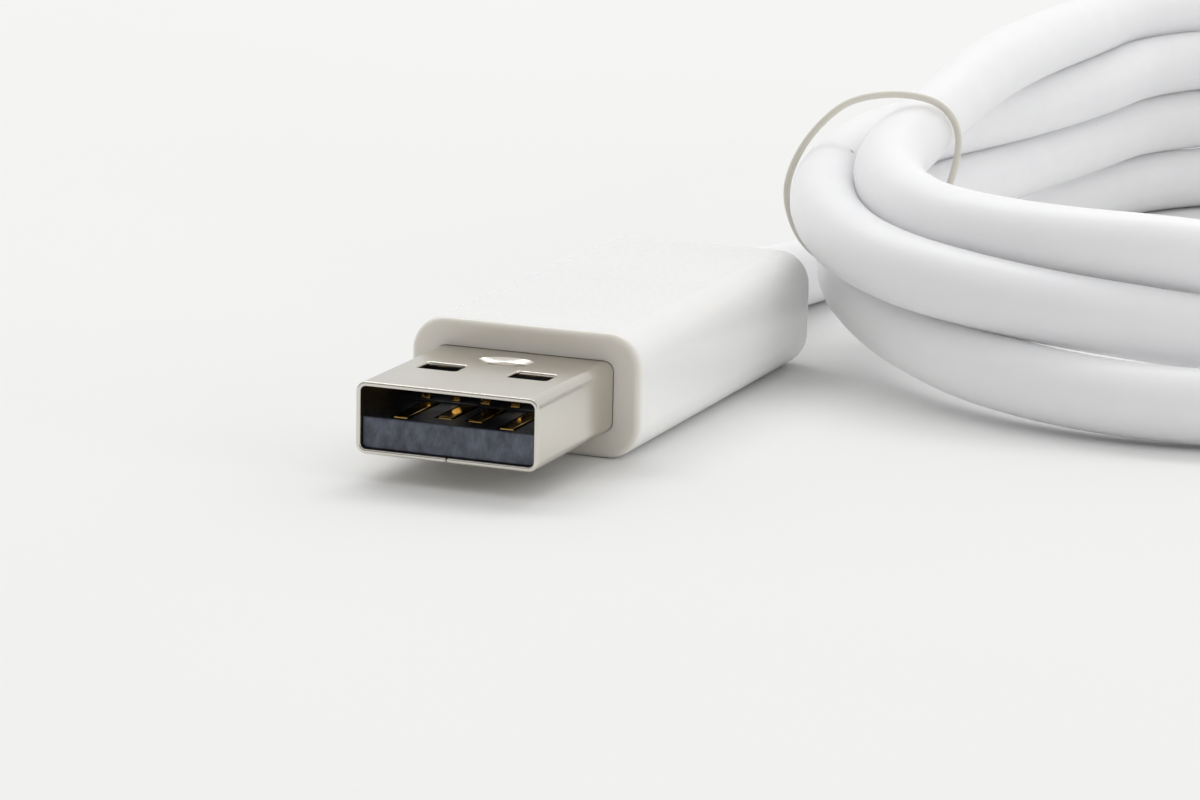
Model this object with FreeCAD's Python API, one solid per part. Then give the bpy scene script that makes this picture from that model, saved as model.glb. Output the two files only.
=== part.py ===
import FreeCAD, Part
import math
import os

# A cable with a type A plug at one end and a type C plug at the other, tied in an oval hank.
# Millimetres. The origin is under the middle of the type A plug, which lies flat and points along -Y.
# Each plug is modelled with its tip at y = 0 and its axis on z = 0, and then set down in its place.

Vector = FreeCAD.Vector
along_y = Vector(0, 1, 0)

# Cable
cable_diameter = 4.9
jacket_wall = 0.35
wire_diameter = 1.0
conductor_diameter = 0.5
wire_gap = 0.34
wire_run = 4.6
joint_gap = 0.7
solder_length = 1.6

# Crimp that grips the braid
crimp_wall = 0.3
crimp_length = 3.0
crimp_opening = 0.7
crimp_strip_width = 3.0
crimp_cradle = 0.12
braid_margin = 0.4

# Type A shell, folded from sheet
shell_width = 12.0
shell_height = 4.5
shell_wall = 0.3
shell_corner = 0.65
shell_exposed = 12.2
shell_seated = 6.3
window_width = 2.65
window_length = 1.95
window_corner = 0.2
window_setback = 5.16
window_spacing = 6.0
dimple_diameter = 3.0
dimple_depth = 0.22
dimple_setback = 9.45
seam_gap = 0.1
dovetail_setback = 8.4
dovetail_length = 2.0
dovetail_reach = 1.1
dovetail_flare = 0.35

# Type A insulator and contacts
tongue_thickness = 1.95
tongue_setback = 0.35
tongue_edge = 0.12
cavity_depth = 9.0
insulator_recess = 0.6
contact_width = 1.0
contact_thickness = 0.25
contact_proud = 0.05
contact_nose = 0.15
contact_tail = 3.0
groove_margin = 0.18
power_contact_offset = 3.5
data_contact_offset = 1.0
power_contact_setback = 1.1
data_contact_setback = 2.1
ledge_setback = 5.8
ledge_rise = 0.15
ledge_edge = 0.08

# Rear contacts of the type A plug, five springs above the flat ones
rear_contact_count = 5
rear_contact_pitch = 2.0
rear_contact_width = 0.6
rear_contact_thickness = 0.15
rear_contact_level = 0.55
rear_contact_peak = 0.85
rear_contact_toe = 0.1
rear_contact_rise = 0.45
rear_contact_crest = 0.4
rear_contact_bend = 0.1
rear_contact_tail = 1.2

# Type A mouldings
body_width = 15.6
body_height = 8.0
body_length = 33.5
body_corner = 2.3
body_front_edge = 0.45
body_rear_edge = 1.8
relief_length = 2.5
relief_wall_front = 1.3
relief_wall_rear = 0.7
seat_gap = 0.12
seat_depth = 0.8
inner_mould_wall = 0.6
inner_mould_corner = 1.2
inner_mould_lap = 2.0
jacket_lap = 1.2

# Type C shell, drawn from one piece
c_shell_width = 8.25
c_shell_height = 2.4
c_shell_wall = 0.2
c_shell_corner = 1.15
c_shell_exposed = 6.65
c_shell_seated = 3.4

# Type C insulator, contacts and springs
c_mouth_width = 6.7
c_mouth_height = 1.0
c_mouth_depth = 5.8
c_insulator_setback = 0.25
c_insulator_recess = 0.85
c_contact_width = 0.26
c_contact_thickness = 0.12
c_contact_pitch = 0.5
c_contact_setback = 1.2
c_contact_lap = 1.7
c_upper_places = (0, 3, 4, 5, 6, 8, 11)
c_lower_places = (0, 3, 8, 11)
c_places_per_row = 12
latch_thickness = 0.2
latch_height = 0.6
latch_setback = 1.1
latch_hook_reach = 0.45
latch_hook_length = 0.9
latch_web_thickness = 0.16
spring_width = 4.6
spring_length = 2.0
spring_thickness = 0.1
spring_setback = 0.7

# Type C board, shield can and mouldings
board_width = 6.6
board_length = 6.0
board_gap = 0.2
pad_gap = 0.7
resistor_length = 1.0
resistor_width = 0.5
resistor_height = 0.35
can_wall = 0.2
can_lap = 1.6
can_overhang = 0.8
c_body_width = 11.4
c_body_height = 6.4
c_body_length = 21.0
c_relief_length = 6.0
c_body_corner = 2.9
c_body_front_edge = 0.6
c_body_rear_edge = 1.4
c_crimp_length = 2.4
c_relief_wall_front = 0.75
c_relief_wall_rear = 0.5
c_strip_length = 3.6

# Hank: an oval of three and a half turns, tied near the type A plug
hank_x = 31.0
near_turn_y = 35.2
far_turn_y = 85.9
turn_radius = 21.4
bundle_width = 12.0
bundle_height = 17.6
bundle_corner = 4.0
tie_setback = 0.5
tie_width = 1.1
tie_thickness = 1.1
lead_stub_length = 16.0
tail_stub_length = 18.3

# Free stretches of the cable, as points of its centre line
lead_points = [
    Vector(0.0, 31.9, 3.2),
    Vector(0.2, 38.6, 2.5),
    Vector(1.3, 44.7, 2.5),
]
tail_points = [
    Vector(57.0, 101.4, 6.0),
    Vector(68.8, 92.5, 4.2),
    Vector(75.8, 82.8, 3.6),
    Vector(78.0, 71.1, 3.3),
]
c_plug_x = 78.35
c_relief_y = 59.9

# Sizes that follow from the ones above
cable_radius = cable_diameter / 2
braid_radius = cable_radius - jacket_wall
shell_end = shell_exposed + shell_seated
inside_width = shell_width - 2 * shell_wall
inside_height = shell_height - 2 * shell_wall
tongue_top = tongue_thickness - inside_height / 2
insulator_end = shell_end - insulator_recess
contact_top = tongue_top + contact_proud
contact_end = insulator_end + contact_tail
ledge_top = tongue_top + ledge_rise
rear_contact_top = tongue_top + rear_contact_level
rear_contact_end = insulator_end + rear_contact_tail
braid_start = contact_end + joint_gap + wire_run
crimp_start = braid_start + braid_margin
jacket_end = crimp_start + crimp_length + braid_margin
body_end = shell_exposed + body_length
plug_length = body_end + relief_length
axis_height = body_height / 2

c_shell_end = c_shell_exposed + c_shell_seated
c_inside_width = c_shell_width - 2 * c_shell_wall
c_inside_height = c_shell_height - 2 * c_shell_wall
c_insulator_end = c_shell_end - c_insulator_recess
board_start = c_insulator_end + board_gap
board_end = board_start + board_length
board_thickness = c_mouth_height - 2 * c_contact_thickness
can_width = c_shell_width + 2 * can_wall
can_height = c_shell_height + 2 * can_wall
can_start = c_shell_end - can_lap
can_end = board_end + can_overhang
c_crimp_start = can_end + c_strip_length
c_braid_start = c_crimp_start - braid_margin
c_jacket_end = c_crimp_start + c_crimp_length + braid_margin
c_body_end = c_shell_exposed + c_body_length
c_plug_length = c_body_end + c_relief_length
c_axis_height = c_body_height / 2

a_place = Vector(0, -plug_length / 2, axis_height)
c_place = Vector(c_plug_x, c_relief_y - c_plug_length, c_axis_height)


def box(x0, x1, y0, y1, z0, z1):
    return Part.makeBox(x1 - x0, y1 - y0, z1 - z0, Vector(x0, y0, z0))


def edges_along(shape, axis):
    return [edge for edge in shape.Edges if abs(edge.tangentAt(edge.FirstParameter).dot(axis)) > 0.999]


def edges_at_y(shape, y):
    return [edge for edge in shape.Edges if abs(edge.BoundBox.YMin - y) + abs(edge.BoundBox.YMax - y) < 1e-4]


def rounded_prism(width, height, corner, y0, y1):
    prism = box(-width / 2, width / 2, y0, y1, -height / 2, height / 2)
    return prism.makeFillet(corner, edges_along(prism, along_y))


def rod(start, end, diameter):
    return Part.makeCylinder(diameter / 2, (end - start).Length, start, end - start)


def placed(shape, place):
    moved = shape.copy()
    moved.translate(place)
    return moved


def crimp_tail(half_height, wall, start, barrel_start, barrel_length):
    # A flat strip runs back from a shell's floor and ends in a barrel closed round the braid.
    barrel_end = barrel_start + barrel_length
    outer = Part.makeCylinder(braid_radius + crimp_wall, barrel_length, Vector(0, barrel_start, 0), along_y)
    inner = Part.makeCylinder(braid_radius, barrel_length, Vector(0, barrel_start, 0), along_y)
    opening = box(-crimp_opening / 2, crimp_opening / 2, barrel_start, barrel_end, 0, cable_diameter)
    half_strip = crimp_strip_width / 2

    def strip_end(y, low, high):
        right = half_strip
        left = -half_strip
        corners = [(left, low), (right, low), (right, high), (left, high), (left, low)]
        return Part.makePolygon([Vector(x, y, z) for x, z in corners])

    level = barrel_start - braid_margin
    low = -braid_radius - crimp_wall
    high = crimp_cradle - braid_radius
    at_shell = strip_end(start, -half_height, wall - half_height)
    strip = Part.makeLoft([at_shell, strip_end(level, low, high)], True, True)
    floor = box(-half_strip, half_strip, level, barrel_start, low, high).cut(braid(level, barrel_start))
    return outer.cut(inner).cut(opening).fuse([strip, floor])


def braid(start, end):
    return Part.makeCylinder(braid_radius, end - start, Vector(0, start, 0), along_y)


def wire_starts(y):
    # The four wires leave the braid at the corners of a square.
    reach = (wire_diameter + wire_gap) / 2
    corners = [(-reach, -reach), (-reach, reach), (reach, reach), (reach, -reach)]
    return [Vector(x, y, z) for x, z in corners]


def wire_end(start, pad_x, pad_end, pad_top):
    # An insulated wire slants to its pad, and its bare tip lies along the pad.
    height = pad_top + conductor_diameter / 2
    joint = Vector(pad_x, pad_end + joint_gap, height)
    tip = Vector(pad_x, pad_end - solder_length, height)
    buried = start + (start - joint).normalize() * wire_diameter
    insulated = rod(buried, joint, wire_diameter)
    behind = box(-cable_radius, cable_radius, start.y, start.y + cable_diameter, -cable_radius, cable_radius)
    return insulated.cut(behind).fuse(rod(joint, tip, conductor_diameter))


def cord_tube(points, name):
    # Straight runs joined by tangent arcs as large as the runs allow.
    edges = []
    start = points[0]
    for before, corner, after in zip(points, points[1:], points[2:]):
        run_in = corner - before
        run_out = after - corner
        turn = run_in.getAngle(run_out)
        tangent = 0.45 * min(run_in.Length, run_out.Length)
        radius = tangent / math.tan(turn / 2)
        run_in.normalize()
        run_out.normalize()
        inward = (run_out - run_in).normalize()
        arc_start = corner - run_in * tangent
        arc_end = corner + run_out * tangent
        arc_middle = corner + inward * (radius / math.cos(turn / 2) - radius)
        edges.append(Part.LineSegment(start, arc_start).toShape())
        edges.append(Part.Arc(arc_start, arc_middle, arc_end).toShape())
        start = arc_end
        print(name, "bend radius", round(radius, 1))
    edges.append(Part.LineSegment(start, points[-1]).toShape())
    path = Part.Wire(edges)
    section = Part.Wire(Part.makeCircle(cable_radius, points[0], points[1] - points[0]))
    tube = path.makePipeShell([section], True, False)
    print(name, "length", round(path.Length, 1), "volume ratio",
          round(tube.Volume / (path.Length * math.pi * cable_radius ** 2), 4))
    return tube


# Type A plug
def shell_envelope():
    return rounded_prism(shell_width, shell_height, shell_corner, 0, shell_end)


def dimple_ball(skin):
    radius = (dimple_diameter ** 2 / 4 + dimple_depth ** 2) / (2 * dimple_depth)
    centre = Vector(0, dimple_setback, shell_height / 2 - dimple_depth + radius)
    return Part.makeSphere(radius + skin, centre)


def seam():
    # The folded edges meet along the floor's middle and lock with one dovetail.
    dovetail_end = dovetail_setback + dovetail_length
    path = [
        (0, 0),
        (0, dovetail_setback),
        (dovetail_reach, dovetail_setback - dovetail_flare),
        (dovetail_reach, dovetail_end + dovetail_flare),
        (0, dovetail_end),
        (0, shell_end),
    ]
    cut = None
    for (x0, y0), (x1, y1) in zip(path, path[1:]):
        length = math.hypot(x1 - x0, y1 - y0)
        half = seam_gap / 2
        slit = box(-half, length + half, -half, half, -shell_height, shell_wall - shell_height / 2 + half)
        slit.rotate(Vector(0, 0, 0), Vector(0, 0, 1), math.degrees(math.atan2(y1 - y0, x1 - x0)))
        slit.translate(Vector(x0, y0, 0))
        cut = slit if cut is None else cut.fuse(slit)
    return cut


def plug_a_shell():
    inside = rounded_prism(inside_width, inside_height, shell_corner - shell_wall, 0, shell_end)
    shell = shell_envelope().cut(inside)
    under_roof = box(-shell_width, shell_width, 0, shell_end, 0, inside_height / 2 + shell_wall / 2)
    shell = shell.fuse(dimple_ball(shell_wall).common(under_roof)).cut(dimple_ball(0))
    for side in (-1, 1):
        middle = side * window_spacing / 2
        window = box(middle - window_width / 2, middle + window_width / 2,
                     window_setback, window_setback + window_length, -shell_height, shell_height)
        shell = shell.cut(window.makeFillet(window_corner, edges_along(window, Vector(0, 0, 1))))
    shell = shell.cut(seam())
    tail = crimp_tail(shell_height / 2, shell_wall, shell_end, crimp_start, crimp_length)
    return shell.fuse(tail).removeSplitter()


def plug_a_contact(offset, setback):
    half = contact_width / 2
    strip = box(offset - half, offset + half, setback, contact_end,
                contact_top - contact_thickness, contact_top)
    nose = [edge for edge in edges_at_y(strip, setback) if edge.BoundBox.ZMin > contact_top - 1e-4]
    return strip.makeFillet(contact_nose, nose)


a_contacts = {
    "power": (-power_contact_offset, power_contact_setback),
    "data_minus": (-data_contact_offset, data_contact_setback),
    "data_plus": (data_contact_offset, data_contact_setback),
    "ground": (power_contact_offset, power_contact_setback),
}


def rear_contact_outline():
    # A spring leaves the insulator level, climbs to its crest and drops to a toe on the ledge.
    toe = ledge_setback + rear_contact_toe
    crest = toe + rear_contact_rise
    top = [
        (rear_contact_end, rear_contact_top),
        (cavity_depth, rear_contact_top),
        (crest + rear_contact_crest, tongue_top + rear_contact_peak),
        (crest, tongue_top + rear_contact_peak),
        (toe, ledge_top),
    ]
    lean = math.hypot(rear_contact_rise, rear_contact_peak - ledge_rise) / (rear_contact_peak - ledge_rise)
    inward = rear_contact_thickness * lean
    under = [
        (toe + inward, ledge_top),
        (crest + inward / 2, tongue_top + rear_contact_peak - rear_contact_thickness),
        (crest + rear_contact_crest, tongue_top + rear_contact_peak - rear_contact_thickness),
        (cavity_depth, rear_contact_top - rear_contact_thickness),
        (rear_contact_end, rear_contact_top - rear_contact_thickness),
    ]
    return top + under + top[:1]


def plug_a_rear_contacts():
    strips = []
    for place in range(rear_contact_count):
        x = (place - (rear_contact_count - 1) / 2) * rear_contact_pitch - rear_contact_width / 2
        outline = Part.makePolygon([Vector(x, y, z) for y, z in rear_contact_outline()])
        strip = Part.Face(outline).extrude(Vector(rear_contact_width, 0, 0))
        bends = [edge for edge in edges_along(strip, Vector(1, 0, 0))
                 if edge.BoundBox.ZMin > tongue_top + rear_contact_peak - 1e-4]
        strips.append(strip.makeFillet(rear_contact_bend, bends))
    return Part.makeCompound(strips)


def plug_a_insulator():
    corner = shell_corner - shell_wall
    base = rounded_prism(inside_width, inside_height, corner, cavity_depth, insulator_end)
    full = rounded_prism(inside_width, inside_height, corner, tongue_setback, cavity_depth)
    tongue = full.common(box(-shell_width, shell_width, 0, cavity_depth, -shell_height, tongue_top))
    lip = [edge for edge in edges_at_y(tongue, tongue_setback) if edge.BoundBox.ZMin > tongue_top - 1e-4]
    ledge = full.common(box(-shell_width, shell_width, ledge_setback, cavity_depth, -shell_height, ledge_top))
    brow = [edge for edge in edges_at_y(ledge, ledge_setback) if edge.BoundBox.ZMin > ledge_top - 1e-4]
    insulator = base.fuse([tongue.makeChamfer(tongue_edge, lip), ledge.makeChamfer(ledge_edge, brow)])
    for offset, setback in a_contacts.values():
        half = contact_width / 2 + groove_margin
        groove = box(offset - half, offset + half, setback - groove_margin, ledge_setback,
                     contact_top - contact_thickness, shell_height)
        channel = box(offset - contact_width / 2, offset + contact_width / 2, ledge_setback, insulator_end,
                      contact_top - contact_thickness, contact_top)
        insulator = insulator.cut(groove).cut(channel)
    return insulator.removeSplitter().cut(dimple_ball(shell_wall)).cut(plug_a_rear_contacts())


def inner_mould(width, height, start, end, inside):
    block = rounded_prism(width, height, inner_mould_corner, start, end)
    return block.cut(inside)


def overmould(width, height, corner, front, rear, front_edge, rear_edge, wall_front, wall_rear, tail):
    # A rounded body whose tapered strain relief starts inside its rear edge.
    body = rounded_prism(width, height, corner, front, rear)
    body = body.makeFillet(front_edge, edges_at_y(body, front))
    body = body.makeFillet(rear_edge, edges_at_y(body, rear))
    relief = Part.makeCone(cable_radius + wall_front, cable_radius + wall_rear, tail + rear_edge,
                           Vector(0, rear - rear_edge, 0), along_y)
    return body.fuse(relief).removeSplitter()


a_mould_width = shell_width + 2 * inner_mould_wall
a_mould_height = shell_height + 2 * inner_mould_wall
a_mould_start = shell_end - inner_mould_lap
a_mould_end = jacket_end + jacket_lap


def plug_a_overmould(cable):
    body = overmould(body_width, body_height, body_corner, shell_exposed, body_end,
                     body_front_edge, body_rear_edge, relief_wall_front, relief_wall_rear, relief_length)
    seat = rounded_prism(shell_width + 2 * seat_gap, shell_height + 2 * seat_gap, shell_corner + seat_gap,
                         shell_exposed, shell_exposed + seat_depth)
    core = rounded_prism(a_mould_width, a_mould_height, inner_mould_corner, a_mould_start, a_mould_end)
    body = body.cut(seat).cut(shell_envelope()).cut(core)
    return placed(body, a_place).cut(cable)


# Type C plug
def c_shell_envelope():
    return rounded_prism(c_shell_width, c_shell_height, c_shell_corner, 0, c_shell_end)


def plug_c_shell():
    inside = rounded_prism(c_inside_width, c_inside_height, c_shell_corner - c_shell_wall, 0, c_shell_end)
    return c_shell_envelope().cut(inside)


def plug_c_contacts(places, side):
    low = side * board_thickness / 2
    high = side * c_mouth_height / 2
    strips = []
    for place in places:
        x = (place - (c_places_per_row - 1) / 2) * c_contact_pitch
        strips.append(box(x - c_contact_width / 2, x + c_contact_width / 2, c_contact_setback,
                          board_start + c_contact_lap, min(low, high), max(low, high)))
    return Part.makeCompound(strips)


def plug_c_latch():
    # Two side arms with hooks at the mouth, joined behind it by a flat web.
    inner = c_mouth_width / 2
    outer = inner + latch_thickness
    half = latch_height / 2
    hook_end = latch_setback + latch_hook_length
    latch = box(-outer, outer, c_mouth_depth, board_start, -latch_web_thickness / 2, latch_web_thickness / 2)
    for side in (-1, 1):
        arm = box(min(side * inner, side * outer), max(side * inner, side * outer),
                  latch_setback, board_start, -half, half)
        nose = [(inner, latch_setback), (inner - latch_hook_reach, latch_setback + latch_hook_length / 2),
                (inner, hook_end), (inner, latch_setback)]
        hook = Part.Face(Part.makePolygon([Vector(side * x, y, -half) for x, y in nose]))
        latch = latch.fuse(arm).fuse(hook.extrude(Vector(0, 0, latch_height)))
    return latch.removeSplitter()


def plug_c_ground_springs():
    springs = []
    for side in (-1, 1):
        wall = side * c_inside_height / 2
        back = wall - side * spring_thickness
        springs.append(box(-spring_width / 2, spring_width / 2,
                           spring_setback, spring_setback + spring_length,
                           min(wall, back), max(wall, back)))
    return Part.makeCompound(springs)


def plug_c_insulator():
    block = rounded_prism(c_inside_width, c_inside_height, c_shell_corner - c_shell_wall,
                          c_insulator_setback, c_insulator_end)
    mouth = box(-c_mouth_width / 2, c_mouth_width / 2, 0, c_mouth_depth,
                -c_mouth_height / 2, c_mouth_height / 2)
    block = block.cut(mouth).cut(plug_c_latch()).cut(plug_c_ground_springs())
    return block.cut(plug_c_contacts(c_upper_places, 1)).cut(plug_c_contacts(c_lower_places, -1))


def plug_c_board():
    half = board_thickness / 2
    return box(-board_width / 2, board_width / 2, board_start, board_end, -half, half)


def plug_c_resistor():
    middle = (board_start + c_contact_lap + board_end - solder_length) / 2
    low = board_thickness / 2
    return box(-resistor_length / 2, resistor_length / 2,
               middle - resistor_width / 2, middle + resistor_width / 2,
               low, low + resistor_height)


def can_envelope():
    return rounded_prism(can_width, can_height, c_shell_corner + can_wall, can_start, can_end)


def plug_c_shield_can():
    inside = rounded_prism(c_shell_width, c_shell_height, c_shell_corner, can_start, can_end)
    tail = crimp_tail(can_height / 2, can_wall, can_end, c_crimp_start, c_crimp_length)
    return can_envelope().cut(inside).fuse(tail).removeSplitter()


c_mould_width = can_width + 2 * inner_mould_wall
c_mould_height = 2 * (braid_radius + crimp_wall) + inner_mould_wall
c_mould_start = can_start - jacket_lap / 2
c_mould_end = c_jacket_end + jacket_lap


def plug_c_overmould(cable):
    body = overmould(c_body_width, c_body_height, c_body_corner, c_shell_exposed, c_body_end,
                     c_body_front_edge, c_body_rear_edge, c_relief_wall_front, c_relief_wall_rear,
                     c_relief_length)
    core = rounded_prism(c_mould_width, c_mould_height, inner_mould_corner, c_mould_start, c_mould_end)
    body = body.cut(c_shell_envelope()).cut(core)
    return placed(body, c_place).cut(cable)


# Hank and tie
def oval(radius):
    left = hank_x - radius
    right = hank_x + radius
    near_left = Vector(left, near_turn_y, 0)
    near_right = Vector(right, near_turn_y, 0)
    far_left = Vector(left, far_turn_y, 0)
    far_right = Vector(right, far_turn_y, 0)
    edges = [
        Part.LineSegment(near_left, far_left).toShape(),
        Part.Arc(far_left, Vector(hank_x, far_turn_y + radius, 0), far_right).toShape(),
        Part.LineSegment(far_right, near_right).toShape(),
        Part.Arc(near_right, Vector(hank_x, near_turn_y - radius, 0), near_left).toShape(),
    ]
    return Part.Face(Part.Wire(edges))


def coil_tie():
    tie_start = near_turn_y + tie_setback
    tie_end = tie_start + tie_width
    outer = rounded_prism(bundle_width, bundle_height, bundle_corner, tie_start, tie_end)
    inner = rounded_prism(bundle_width - 2 * tie_thickness, bundle_height - 2 * tie_thickness,
                          bundle_corner - tie_thickness, tie_start, tie_end)
    return placed(outer.cut(inner), Vector(hank_x - turn_radius, 0, bundle_height / 2))


def stub(end, inside_point, length):
    towards = (inside_point - end).normalize()
    return rod(end, end + towards * length, cable_diameter)


def cord_coil(tie):
    outer = oval(turn_radius + bundle_width / 2)
    inner = oval(turn_radius - bundle_width / 2)
    ring = outer.cut(inner).extrude(Vector(0, 0, bundle_height))
    rims = [edge for edge in ring.Edges if edge.BoundBox.ZLength < 1e-4]
    ring = ring.makeFillet(bundle_corner, rims)
    lead_end = lead_points[-1]
    lead_in = lead_end + (lead_end - lead_points[-2])
    tail_end = tail_points[0]
    tail_in = tail_end + (tail_end - tail_points[1])
    lead = stub(lead_end, lead_in, lead_stub_length)
    tail = stub(tail_end, tail_in, tail_stub_length)
    return ring.fuse(lead).fuse(tail).removeSplitter().cut(tie)


# Assembly
pieces = {}

lead_start = [Vector(0, jacket_end, 0) + a_place, Vector(0, plug_length, 0) + a_place]
tail_finish = [Vector(0, c_plug_length, 0) + c_place, Vector(0, c_jacket_end, 0) + c_place]
pieces["cord_lead"] = cord_tube(lead_start + lead_points, "cord_lead")
pieces["cord_tail"] = cord_tube(tail_points + tail_finish, "cord_tail")
pieces["coil_tie"] = coil_tie()
pieces["cord_coil"] = cord_coil(pieces["coil_tie"])

a_parts = {
    "shell": plug_a_shell(),
    "insulator": plug_a_insulator(),
    "rear_contacts": plug_a_rear_contacts(),
    "braid": braid(braid_start, jacket_end),
}
a_starts = wire_starts(braid_start)
for (role, (offset, setback)), start in zip(a_contacts.items(), a_starts):
    a_parts["contact_" + role] = plug_a_contact(offset, setback)
    a_parts["wire_" + role] = wire_end(start, offset, contact_end, contact_top)
a_jacket = Part.makeCylinder(cable_radius, jacket_lap, Vector(0, jacket_end, 0), along_y)
a_filled = list(a_parts.values()) + [shell_envelope(), a_jacket]
a_parts["inner_mould"] = inner_mould(a_mould_width, a_mould_height, a_mould_start, a_mould_end, a_filled)
for name, shape in a_parts.items():
    pieces["plug_a_" + name] = placed(shape, a_place)
pieces["plug_a_overmould"] = plug_a_overmould(pieces["cord_lead"])

c_parts = {
    "shell": plug_c_shell(),
    "insulator": plug_c_insulator(),
    "contacts_upper": plug_c_contacts(c_upper_places, 1),
    "contacts_lower": plug_c_contacts(c_lower_places, -1),
    "latch": plug_c_latch(),
    "ground_springs": plug_c_ground_springs(),
    "board": plug_c_board(),
    "resistor": plug_c_resistor(),
    "shield_can": plug_c_shield_can(),
    "braid": braid(c_braid_start, c_jacket_end),
}
for index, (role, start) in enumerate(zip(a_contacts, wire_starts(c_braid_start))):
    pad_x = (index - (len(a_contacts) - 1) / 2) * (wire_diameter + pad_gap)
    c_parts["wire_" + role] = wire_end(start, pad_x, board_end, board_thickness / 2)
c_jacket = Part.makeCylinder(cable_radius, jacket_lap, Vector(0, c_jacket_end, 0), along_y)
c_filled = list(c_parts.values()) + [can_envelope(), c_shell_envelope(), c_jacket]
c_parts["inner_mould"] = inner_mould(c_mould_width, c_mould_height, c_mould_start, c_mould_end, c_filled)
for name, shape in c_parts.items():
    pieces["plug_c_" + name] = placed(shape, c_place)
pieces["plug_c_overmould"] = plug_c_overmould(pieces["cord_tail"])

os.makedirs("parts", exist_ok=True)
for name, shape in pieces.items():
    shape.exportStep("parts/" + name + ".step")
    print(name, "solids", len(shape.Solids), "valid", shape.isValid(), "volume", round(shape.Volume, 2))
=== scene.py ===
import bpy
import math
from mathutils import Matrix, Vector


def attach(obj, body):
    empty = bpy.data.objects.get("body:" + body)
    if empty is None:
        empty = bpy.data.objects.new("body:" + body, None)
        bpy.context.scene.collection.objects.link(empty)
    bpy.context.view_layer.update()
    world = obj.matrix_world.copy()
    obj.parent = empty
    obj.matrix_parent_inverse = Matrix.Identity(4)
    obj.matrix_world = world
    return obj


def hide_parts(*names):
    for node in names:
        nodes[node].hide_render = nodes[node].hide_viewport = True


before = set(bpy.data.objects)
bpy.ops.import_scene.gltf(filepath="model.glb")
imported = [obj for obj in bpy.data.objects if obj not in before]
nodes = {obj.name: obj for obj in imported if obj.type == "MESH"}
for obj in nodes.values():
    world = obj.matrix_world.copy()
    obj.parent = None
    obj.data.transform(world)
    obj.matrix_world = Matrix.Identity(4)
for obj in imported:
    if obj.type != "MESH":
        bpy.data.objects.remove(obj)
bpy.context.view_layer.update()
mm = 0.001


# camera, at the photograph's place and angle; focal length and frame width are in pixels
viewpoint = {
    "place": (102.95, -261.3, 63.45),
    "turn": 21.415,
    "down": 12.564,
    "roll": 1.244,
    "focal": 4400.0,
    "frameWidth": 1200.0,
    "sensorWidth": 36.0,
    "clipStart": 0.01,
    "clipEnd": 20.0,
}


def setCamera():
    turn = math.radians(viewpoint["turn"])
    down = math.radians(viewpoint["down"])
    roll = math.radians(viewpoint["roll"])
    ahead = Vector((-math.sin(turn) * math.cos(down), math.cos(turn) * math.cos(down), -math.sin(down)))
    right = Vector((math.cos(turn), math.sin(turn), 0))
    up = right.cross(ahead)
    rightRolled = math.cos(roll) * right + math.sin(roll) * up
    upRolled = math.cos(roll) * up - math.sin(roll) * right
    lens = bpy.data.cameras.new("camera")
    lens.sensor_width = viewpoint["sensorWidth"]
    lens.lens = viewpoint["sensorWidth"] * viewpoint["focal"] / viewpoint["frameWidth"]
    lens.clip_start = viewpoint["clipStart"]
    lens.clip_end = viewpoint["clipEnd"]
    camera = bpy.data.objects.new("camera", lens)
    bpy.context.scene.collection.objects.link(camera)
    axes = Matrix((rightRolled, upRolled, -ahead)).transposed().to_4x4()
    camera.matrix_world = Matrix.Translation(Vector(viewpoint["place"]) * mm) @ axes
    bpy.context.scene.camera = camera


setCamera()
print("camera set")


# small helpers, all sizes in millimetres
touching = 0.01  # places this close count as one
weldReach = 0.001  # points this close are merged
overrun = 1.0  # cutting tools reach this far past the piece
facing = 0.9  # least share of a normal along an axis for a face that looks that way
rimAngle = 50  # edges that turn by more degrees than this are rounded


def clearSelection():
    if bpy.context.object and bpy.context.object.mode != "OBJECT":
        bpy.ops.object.mode_set(mode="OBJECT")
    bpy.ops.object.select_all(action="DESELECT")


def selectOnly(piece):
    clearSelection()
    piece.select_set(True)
    bpy.context.view_layer.objects.active = piece


def startPick(piece, kind):
    bpy.context.view_layer.objects.active = piece
    bpy.ops.object.mode_set(mode="EDIT")
    bpy.ops.mesh.select_mode(type=kind)
    bpy.ops.mesh.select_all(action="DESELECT")
    bpy.ops.object.mode_set(mode="OBJECT")


def pickFaces(piece, test):
    startPick(piece, "FACE")
    for face in piece.data.polygons:
        face.select = bool(test(face.center / mm, face.normal))
    bpy.ops.object.mode_set(mode="EDIT")


def pickEdges(piece, test):
    startPick(piece, "EDGE")
    points = piece.data.vertices
    for edge in piece.data.edges:
        a, b = (points[i].co / mm for i in edge.vertices)
        edge.select = bool(test(a, b))
    bpy.ops.object.mode_set(mode="EDIT")


def leaveEdit():
    bpy.ops.object.mode_set(mode="OBJECT")


def bevelEdges(piece, test, offset, segments):
    pickEdges(piece, test)
    bpy.ops.mesh.bevel(offset=offset * mm, segments=segments, profile=0.5,
                       affect="EDGES", clamp_overlap=False)
    leaveEdit()


def applyModifier(piece, kind, **settings):
    bpy.context.view_layer.objects.active = piece
    step = piece.modifiers.new("step", kind)
    for key, value in settings.items():
        setattr(step, key, value)
    bpy.ops.object.modifier_apply(modifier="step")


def carve(piece, tool, how="DIFFERENCE"):
    applyModifier(piece, "BOOLEAN", operation=how, object=tool, solver="EXACT")
    bpy.data.objects.remove(tool)


def mergePoints(piece):
    # cuts leave some points on top of each other
    pickFaces(piece, lambda centre, normal: True)
    bpy.ops.mesh.remove_doubles(threshold=weldReach * mm)
    bpy.ops.mesh.dissolve_degenerate(threshold=weldReach * mm)
    leaveEdit()


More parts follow.
